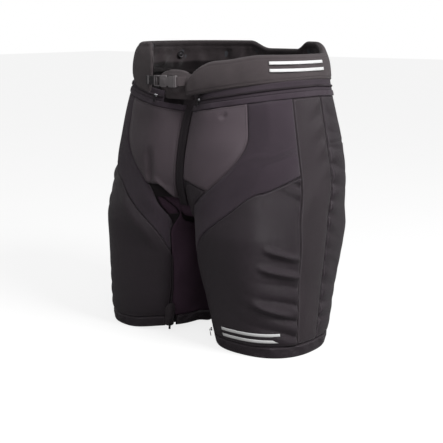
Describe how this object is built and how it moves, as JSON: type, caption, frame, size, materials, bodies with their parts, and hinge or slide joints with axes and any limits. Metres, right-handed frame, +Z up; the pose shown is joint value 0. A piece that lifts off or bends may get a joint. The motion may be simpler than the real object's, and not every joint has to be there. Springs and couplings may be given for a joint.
{
  "type": "hockey pants",
  "caption": "Hockey pants: padded waist belt with a side-release buckle, sewn woven and stretch panels, side stripes, zips and inner guards; the legs swing at the hips.",
  "frame": {"origin": "on the symmetry plane, at the centre of the bounding box's foot, level with both leg hems", "axes": "+Z up, the front faces -Y, the wearer's left is +X"},
  "size_m": [0.5112, 0.3541, 0.609],
  "materials": {
    "nylon": "dark woven nylon, slight sheen",
    "light_nylon": "lighter woven nylon, slight sheen",
    "stretch": "matt stretch knit",
    "belt_fabric": "soft matt fabric over foam",
    "lining": "brushed knit lining",
    "foam": "closed-cell foam",
    "guard_plastic": "moulded polyethylene",
    "buckle_plastic": "moulded acetal, satin",
    "webbing": "woven webbing",
    "zip_fabric": "zip tape and cord pull",
    "metal": "dark painted zinc"
  },
  "bodies": {
    "waist": {"belt_cover": "belt_fabric", "belt_lining": "lining", "belt_foam_left": "foam", "belt_foam_right": "foam", "kidney_pad_left": "foam", "kidney_pad_right": "foam", "spine_pad": "foam", "suspender_button_left": "metal", "suspender_button_right": "metal", "waist_zip_tape_left": "zip_fabric", "waist_zip_tape_right": "zip_fabric", "waistband": "nylon", "crotch_panel_left": "light_nylon", "crotch_panel_right": "light_nylon", "stretch_panel_left": "stretch", "stretch_panel_right": "stretch", "hip_stripe_left": "light_nylon", "hip_stripe_right": "light_nylon", "seat_panel_left": "nylon", "seat_panel_right": "nylon", "fly_placket": "light_nylon", "crotch_gusset": "nylon", "hip_guard_left": "guard_plastic", "hip_guard_right": "guard_plastic", "tailbone_guard": "guard_plastic", "tailbone_foam": "foam", "buckle_socket": "buckle_plastic", "buckle_strap_left": "webbing", "buckle_strap_right": "webbing", "tongue": "belt_fabric"},
    "left_leg": {"groin_panel_left": "stretch", "thigh_panel_left": "nylon", "leg_stripe_left": "light_nylon", "leg_back_panel_left": "nylon", "inner_leg_panel_left": "nylon", "leg_hem_left": "nylon", "thigh_guard_left": "guard_plastic", "thigh_foam_left": "foam", "leg_zip_tape_left": "zip_fabric"},
    "right_leg": {"groin_panel_right": "stretch", "thigh_panel_right": "nylon", "leg_stripe_right": "light_nylon", "leg_back_panel_right": "nylon", "inner_leg_panel_right": "nylon", "leg_hem_right": "nylon", "thigh_guard_right": "guard_plastic", "thigh_foam_right": "foam", "leg_zip_tape_right": "zip_fabric"},
    "buckle_plug": {"buckle_plug": "buckle_plastic"},
    "buckle_prong_upper": {"buckle_prong_upper": "buckle_plastic"},
    "buckle_prong_lower": {"buckle_prong_lower": "buckle_plastic"},
    "waist_zip_slider_left": {"waist_zip_slider_left": "metal"},
    "waist_zip_pull_left": {"waist_zip_pull_left": "zip_fabric"},
    "leg_zip_slider_left": {"leg_zip_slider_left": "metal"},
    "leg_zip_pull_left": {"leg_zip_pull_left": "zip_fabric"},
    "waist_zip_slider_right": {"waist_zip_slider_right": "metal"},
    "waist_zip_pull_right": {"waist_zip_pull_right": "zip_fabric"},
    "leg_zip_slider_right": {"leg_zip_slider_right": "metal"},
    "leg_zip_pull_right": {"leg_zip_pull_right": "zip_fabric"}
  },
  "joints": [
    {"name": "left_leg_swing", "type": "hinge", "parent": "waist", "child": "left_leg", "pos_m": [0.13, -0.043, 0.245], "axis": [-1, 0, 0], "range_deg": [-10, 20], "stiffness_Nm_per_rad": 12},
    {"name": "right_leg_swing", "type": "hinge", "parent": "waist", "child": "right_leg", "pos_m": [-0.13, -0.043, 0.245], "axis": [-1, 0, 0], "range_deg": [-10, 20], "stiffness_Nm_per_rad": 12},
    {"name": "buckle_release", "type": "slide", "parent": "waist", "child": "buckle_plug", "axis": [-1, 0, 0], "range_m": [0, 0.026]},
    {"name": "prong_upper_squeeze", "type": "hinge", "parent": "buckle_plug", "child": "buckle_prong_upper", "pos_m": [-0.0355, -0.171, 0.543], "axis": [0, 1, 0], "range_deg": [0, 7], "stiffness_Nm_per_rad": 0.02},
    {"name": "prong_lower_squeeze", "type": "hinge", "parent": "buckle_plug", "child": "buckle_prong_lower", "pos_m": [-0.0355, -0.171, 0.527], "axis": [0, 1, 0], "range_deg": [-7, 0], "stiffness_Nm_per_rad": 0.02},
    {"name": "waist_zip_left_travel", "type": "hinge", "parent": "waist", "child": "waist_zip_slider_left", "pos_m": [0.07353, -0.05703, 0.50484], "axis": [-0.1686, 0.0007, 0.9857], "range_deg": [0, 35], "stiffness_Nm_per_rad": 0.02},
    {"name": "waist_zip_left_pull_flip", "type": "hinge", "parent": "waist_zip_slider_left", "child": "waist_zip_pull_left", "pos_m": [0.03807, -0.14995, 0.50053], "axis": [-0.9055, 0.4244, 0], "range_deg": [0, 90]},
    {"name": "waist_zip_right_travel", "type": "hinge", "parent": "waist", "child": "waist_zip_slider_right", "pos_m": [-0.05893, 0.01699, 0.50098], "axis": [-0.17, -0.0083, -0.9854], "range_deg": [0, 15], "stiffness_Nm_per_rad": 0.02},
    {"name": "waist_zip_right_pull_flip", "type": "hinge", "parent": "waist_zip_slider_right", "child": "waist_zip_pull_right", "pos_m": [-0.06668, -0.1572, 0.50509], "axis": [-1, -0.006, 0], "range_deg": [0, 90]},
    {"name": "leg_zip_left_travel", "type": "slide", "parent": "left_leg", "child": "leg_zip_slider_left", "axis": [-0.1614, -0.0686, 0.9845], "range_m": [0, 0.08]},
    {"name": "leg_zip_left_pull_flip", "type": "hinge", "parent": "leg_zip_slider_left", "child": "leg_zip_pull_left", "pos_m": [0.05277, -0.12944, 0.0288], "axis": [-0.6288, 0.7761, -0.049], "range_deg": [0, 150]},
    {"name": "leg_zip_right_travel", "type": "slide", "parent": "right_leg", "child": "leg_zip_slider_right", "axis": [0.1614, -0.0686, 0.9845], "range_m": [0, 0.08]},
    {"name": "leg_zip_right_pull_flip", "type": "hinge", "parent": "leg_zip_slider_right", "child": "leg_zip_pull_right", "pos_m": [-0.05277, -0.12944, 0.0288], "axis": [-0.6288, -0.7761, 0.049], "range_deg": [0, 150]}
  ],
  "couplings": [
    {"joint": "prong_lower_squeeze", "follows": "prong_upper_squeeze", "ratio": -1}
  ]
}
